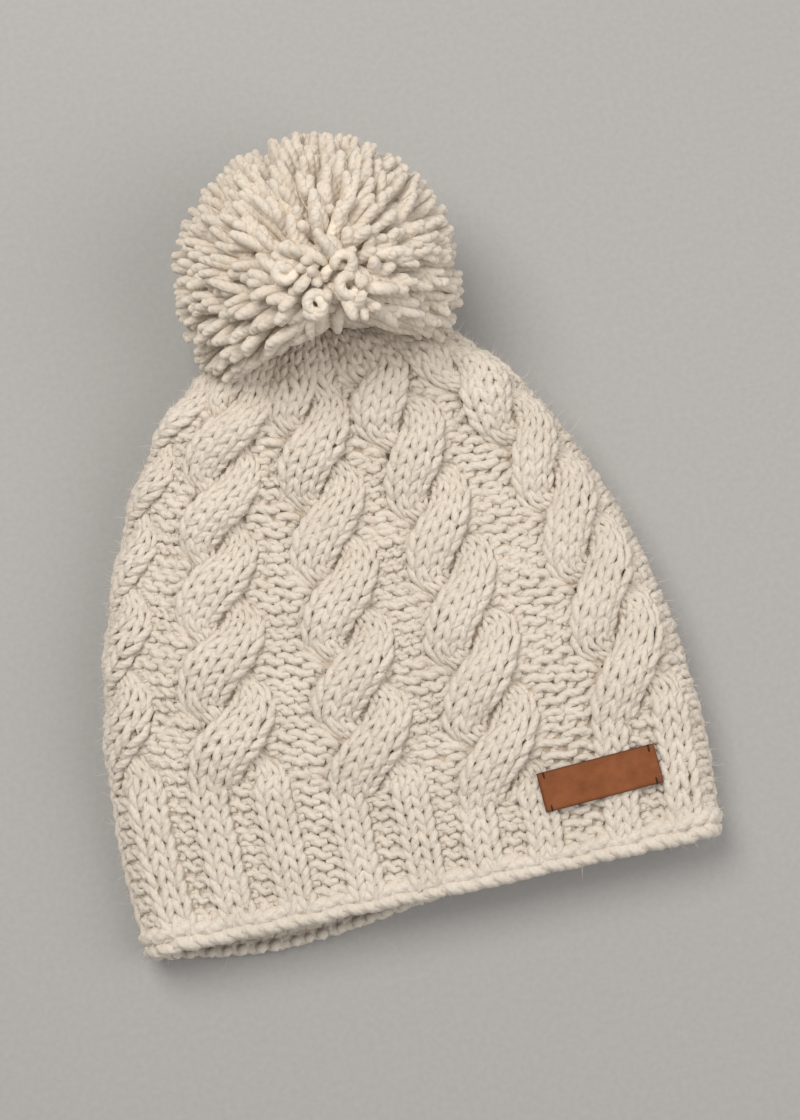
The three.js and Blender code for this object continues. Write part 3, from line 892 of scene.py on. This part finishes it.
def leather_patch():
    """Leather with a rounded-over cut edge, lying over the ribs."""
    across = label_places(LABEL["across"], LABEL_GRID["columns"])
    along = label_places(LABEL["along"], LABEL_GRID["rows"])
    x, y = np.meshgrid(across, along, indexing="ij")
    near = np.minimum(LABEL["across"] / 2 - np.abs(x), LABEL["along"] / 2 - np.abs(y))
    drop = LABEL_ROUND["drop"] * np.clip(1.0 - near / LABEL_ROUND["over"], 0.0, 1.0) ** 2
    wave = LABEL_WAVE["size"] * np.sin(2.0 * np.pi * x / LABEL_WAVE["length"] + LABEL_WAVE["start"])
    top, _ = label_point(x, y, LABEL_OFF_WALL + LABEL["thick"] - drop + wave)
    low, _ = label_point(x, y, LABEL_OFF_WALL + wave)
    index = np.arange(x.size).reshape(x.shape)
    face = np.stack([index[:-1, :-1], index[1:, :-1], index[1:, 1:], index[:-1, 1:]], -1).reshape(-1, 4)
    border = np.concatenate([index[:, 0], index[-1, 1:], index[-2::-1, -1], index[0, -2:0:-1]])
    following = np.roll(border, -1)
    wall = np.stack([border, border + x.size, following + x.size, following], -1)
    verts = np.concatenate([top.reshape(-1, 3), low.reshape(-1, 3)])
    quads = np.concatenate([face, face[:, ::-1] + x.size, wall])
    piece = build("leather_patch", verts, quads, np.zeros((0, 3), int), leather)
    worn = np.concatenate([np.exp(-near / LABEL_WORN).ravel(), np.ones(x.size)])
    layer = piece.data.attributes.new("edge", "FLOAT", "POINT")
    layer.data.foreach_set("value", worn.astype(np.float32))
    return piece


def patch_stitches():
    """Short dark stitches that hold the corners of the patch."""
    t = np.linspace(0.0, 1.0, CORNER_SAMPLES)
    rise = CORNER_STITCH["high"] * np.sin(np.pi * t) - CORNER_STITCH["sunk"]
    radius = np.full((1, len(t)), CORNER_STITCH["radius"])
    bundles = []
    for right in (-1, 1):
        for up in (-1, 1):
            across = np.full(len(t), right * (LABEL["across"] / 2 - CORNER_STITCH["inset"]))
            along = up * (LABEL["along"] / 2 - CORNER_STITCH["length"] * t)
            point, normal = label_point(across, along, LABEL_OFF_WALL + LABEL["thick"] + rise)
            bundles.append(tubes(point[None], radius, normal[None], CORNER_SIDES))
    return join_tubes("patch_stitches", bundles, thread)


def under_patch(points):
    """Which points of the front wall the leather covers."""
    x = points[:, 0] - LABEL["x"]
    y = points[:, 1] - LABEL["y"]
    across = x * math.cos(LABEL["tilt"]) + y * math.sin(LABEL["tilt"])
    along = y * math.cos(LABEL["tilt"]) - x * math.sin(LABEL["tilt"])
    covered = (np.abs(across) < LABEL["across"] / 2) & (np.abs(along) < LABEL["along"] / 2)
    return covered & (points[:, 2] > middle_height(points[:, 1]))


def hairs(name, ends, outward, material):
    """Loose wool fibres that stand off the yarn, each a thin bent ribbon that runs out to a point."""
    count = len(ends)
    lead = unit(outward + HAIR_STRAY * rng.normal(size=(count, 3)))
    short_of_out = np.maximum(HAIR_LEAST_OUT - (lead * outward).sum(1), 0.0)
    lead = unit(lead + outward * short_of_out[:, None])
    curl = unit(np.cross(lead, rng.normal(size=(count, 3))))
    length = rng.gamma(HAIR_LENGTH["shape"], HAIR_LENGTH["scale"], count)
    length = np.clip(length, HAIR_LENGTH["shortest"], HAIR_LENGTH["longest"])
    bend = length * rng.normal(0.0, HAIR_BEND, count)
    start = ends + lead * HAIR_STARTS
    paths = start[:, None] + lead[:, None] * (length[:, None] * HAIR_SHARES)[..., None]
    paths = paths + curl[:, None] * (bend[:, None] * HAIR_SHARES**2)[..., None]
    half = np.cross(lead, curl)[:, None] * (HAIR_WIDTH / 2 * HAIR_TAPER)[:, None]
    verts = np.concatenate([paths[:, :3] - half, paths[:, :3] + half, paths[:, 3:]], 1)
    verts = press_on_floor(verts, HAIR_LIES_AT)
    shift = (np.arange(count) * verts.shape[1])[:, None, None]
    quads = (np.array([[0, 3, 4, 1], [1, 4, 5, 2]]) + shift).reshape(-1, 4)
    tris = (np.array([[2, 5, 6]]) + shift).reshape(-1, 3)
    return build(name, verts.reshape(-1, 3), quads, tris, material, np.zeros((quads.size + tris.size, 2)))


def pom_fuzz():
    ends = np.concatenate(tuft_ends)
    ends = ends[ends[:, 2] > POM_HAIRS["above"]]
    ends = ends[rng.integers(0, len(ends), POM_HAIRS["count"])]
    return hairs("pom_fuzz", ends, unit(ends - POM), tuft_wool)


def wool_fuzz():
    pool = np.concatenate(yarn_points)
    pool = pool[(pool[:, 0, 2] > KNIT_HAIRS["above"]) & ~under_patch(pool[:, 0])]
    pick = pool[rng.integers(0, len(pool), KNIT_HAIRS["count"])]
    return hairs("wool_fuzz", pick[:, 0], pick[:, 1], wool)


def new_material(name):
    """An empty material, its node tree and its shader."""
    material = bpy.data.materials.new(name)
    material.use_nodes = True
    return material, material.node_tree, material.node_tree.nodes["Principled BSDF"]


def set_inputs(node, values):
    for name, value in values.items():
        node.inputs[name].default_value = value


def arithmetic(tree, operation, *terms):
    """Outcome of a sum on sockets and plain numbers."""
    node = tree.nodes.new("ShaderNodeMath")
    node.operation = operation
    for socket, term in zip(node.inputs, terms):
        if isinstance(term, float):
            socket.default_value = term
        else:
            tree.links.new(term, socket)
    return node.outputs[0]


def noise(tree, place, values):
    node = tree.nodes.new("ShaderNodeTexNoise")
    set_inputs(node, values)
    tree.links.new(place, node.inputs["Vector"])
    return node.outputs["Fac"]


def ramp(tree, factor, *stops):
    """Runs from one colour to another between two places."""
    node = tree.nodes.new("ShaderNodeValToRGB")
    for element, (place, colour) in zip(node.color_ramp.elements, stops):
        element.position = place
        element.color = (*colour, 1.0)
    tree.links.new(factor, node.inputs["Fac"])
    return node.outputs["Color"]


def blend(tree, factor, colour, other):
    """A colour socket that gives way to a plain colour."""
    node = tree.nodes.new("ShaderNodeMix")
    node.data_type = "RGBA"
    tree.links.new(factor, node.inputs["Factor"])
    tree.links.new(colour, node.inputs["A"])
    node.inputs["B"].default_value = (*other, 1.0)
    return node.outputs["Result"]


def map_range(tree, value, values):
    node = tree.nodes.new("ShaderNodeMapRange")
    set_inputs(node, values)
    tree.links.new(value, node.inputs["Value"])
    return node.outputs["Result"]


def bump(tree, shader, height, strength, distance):
    node = tree.nodes.new("ShaderNodeBump")
    set_inputs(node, {"Strength": strength, "Distance": distance})
    tree.links.new(height, node.inputs["Height"])
    tree.links.new(node.outputs["Normal"], shader.inputs["Normal"])


def object_place(tree):
    return tree.nodes.new("ShaderNodeTexCoord").outputs["Object"]


def wool_material(name, colour, strength, root=None):
    """Wool yarn: plies that wind round it, fine fibres along it, matte with a soft sheen.
    A paler root colour takes over further along each length, which starts at its free end: painted light
    that brightens the shaded depths of the pom-pom."""
    material, tree, shader = new_material(name)
    set_inputs(shader, {"Roughness": 0.92, "Specular IOR Level": 0.18})
    set_inputs(shader, {"Sheen Weight": 0.35, "Sheen Roughness": 0.5, "Sheen Tint": (1.0, 0.96, 0.9, 1.0)})
    yarn = tree.nodes.new("ShaderNodeUVMap")
    yarn.uv_map = "yarn"
    split = tree.nodes.new("ShaderNodeSeparateXYZ")
    tree.links.new(yarn.outputs["UV"], split.inputs[0])
    wind = arithmetic(tree, "MULTIPLY_ADD", split.outputs["X"], 1.0 / PLY_TWIST, split.outputs["Y"])
    plies = arithmetic(tree, "SINE", arithmetic(tree, "MULTIPLY", wind, 2.0 * math.pi * PLIES))
    stretch = tree.nodes.new("ShaderNodeMapping")
    stretch.inputs["Scale"].default_value = (0.35, 5.0, 1.0)
    tree.links.new(yarn.outputs["UV"], stretch.inputs["Vector"])
    fibre = noise(tree, stretch.outputs[0], {"Scale": 3.0, "Detail": 4.0})
    cloud = noise(tree, object_place(tree), {"Scale": 60.0, "Detail": 3.0})
    clouded = arithmetic(tree, "MULTIPLY", cloud, 1.0 - FIBRE_SHARE)
    mixed = arithmetic(tree, "MULTIPLY_ADD", fibre, FIBRE_SHARE, clouded)
    dark = [value * share for value, share in zip(colour, WOOL_DARKER)]
    light = [min(value * WOOL_LIGHTER, 1.0) for value in colour]
    tone = ramp(tree, mixed, (0.3, dark), (0.7, light))
    if root is not None:
        # Painted light: the paler colour deep in the tufts brightens the shade between them
        reach = map_range(tree, split.outputs["X"], {"From Min": PAINTED_LIGHT_FROM, "From Max": PAINTED_LIGHT_TO})
        tone = blend(tree, reach, tone, root)
    tree.links.new(tone, shader.inputs["Base Color"])
    bump(tree, shader, arithmetic(tree, "MULTIPLY_ADD", plies, PLY_RELIEF, fibre), strength, YARN_BUMP)
    return material


def plain_material(name, colour, roughness):
    """A matte colour with a fine grain."""
    material, tree, shader = new_material(name)
    set_inputs(shader, {"Roughness": roughness})
    grain = noise(tree, object_place(tree), {"Scale": 400.0})
    tone = ramp(tree, grain, (0.0, [value * 0.85 for value in colour]), (1.0, colour))
    tree.links.new(tone, shader.inputs["Base Color"])
    return material


def leather_material():
    """Cloudy tan leather with a pebbled grain, dark at its cut edge."""
    material, tree, shader = new_material("tan_leather")
    set_inputs(shader, {"Specular IOR Level": 0.2})
    place = object_place(tree)
    cloud = noise(tree, place, {"Scale": 140.0, "Detail": 6.0, "Roughness": 0.65})
    tone = ramp(tree, cloud, (0.3, LEATHER_DARK), (0.72, LEATHER_LIGHT))
    edge = tree.nodes.new("ShaderNodeAttribute")
    edge.attribute_name = "edge"
    tree.links.new(blend(tree, edge.outputs["Fac"], tone, LEATHER_EDGE), shader.inputs["Base Color"])
    tree.links.new(map_range(tree, cloud, {"To Min": 0.48, "To Max": 0.66}), shader.inputs["Roughness"])
    grain = tree.nodes.new("ShaderNodeTexVoronoi")
    grain.inputs["Scale"].default_value = 1700.0
    tree.links.new(place, grain.inputs["Vector"])
    bump(tree, shader, grain.outputs["Distance"], 0.35, LEATHER_BUMP)
    return material


def add_light(lamp):
    """A soft round lamp aimed at the hat."""
    data = bpy.data.lights.new(lamp["name"], "AREA")
    data.shape = "DISK"
    data.size = lamp["size"]
    data.energy = lamp["power"]
    data.color = lamp["colour"]
    light = bpy.data.objects.new(lamp["name"], data)
    bpy.context.scene.collection.objects.link(light)
    light.location = lamp["place"]
    light.rotation_euler = (LIGHT_TARGET - light.location).to_track_quat("-Z", "Y").to_euler()


def studio():
    """Pale floor, two lamps and an even soft surround."""
    bpy.ops.mesh.primitive_plane_add(size=FLOOR_SIZE, location=(0.0, 0.0, 0.0))
    floor = bpy.context.object
    floor.name = "floor"
    floor.data.materials.append(plain_material("floor_paper", FLOOR_COLOUR, 0.9))
    for lamp in LIGHTS:
        add_light(lamp)
    world = bpy.data.worlds.new("soft_studio")
    world.use_nodes = True
    set_inputs(world.node_tree.nodes["Background"], {"Color": WORLD_COLOUR, "Strength": WORLD_STRENGTH})
    bpy.context.scene.world = world
    bpy.context.scene.view_settings.view_transform = "Standard"


def camera():
    """The photo's view, nearly straight down on the front of the hat."""
    data = bpy.data.cameras.new("camera")
    data.lens = LENS
    data.sensor_width = SENSOR
    cam = bpy.data.objects.new("camera", data)
    bpy.context.scene.collection.objects.link(cam)
    level = math.cos(ELEVATION)
    back = Vector((math.sin(AZIMUTH) * level, -math.cos(AZIMUTH) * level, math.sin(ELEVATION)))
    distance = PHOTO_HEIGHT * PIXEL * LENS / SENSOR
    cam.location = Vector(to_scene(AIM)) + back * (distance * MM)
    cam.rotation_euler = back.to_track_quat("Z", "Y").to_euler()
    bpy.context.scene.camera = cam


wool = wool_material("wool_yarn", WOOL_COLOUR, 0.5)
tuft_wool = wool_material("cut_wool", TUFT_COLOUR, 0.55, TUFT_ROOT_PAINTED_LIGHT)
# Darker ground material: painted shade for the gaps between stitches and the pom-pom's core
shaded_ground = plain_material("wool_ground_painted_shade", GROUND_SHADE_COLOUR, 0.95)
leather = leather_material()
thread = plain_material("dark_thread", THREAD_COLOUR, 0.8)

# The pieces that stand for each node of the part
pieces = {
    "band": [knit("band_knit", range(0, 8))],
    "crown": [
        knit("crown_knit_low", range(8, 20)),
        knit("crown_knit_mid", range(20, 32)),
        knit("crown_knit_top", range(32, COURSES)),
        wall_ground(),
    ],
}
pieces["band"].append(cast_on_rim())
pieces["pompom"] = [pom_tufts(), pom_core()]
pieces["label"] = [leather_patch(), patch_stitches()]
pieces["pompom"].append(pom_fuzz())
pieces["crown"].append(wool_fuzz())

for node, group in pieces.items():
    for piece in group:
        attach(piece, "root")
        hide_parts(node)

studio()
camera()
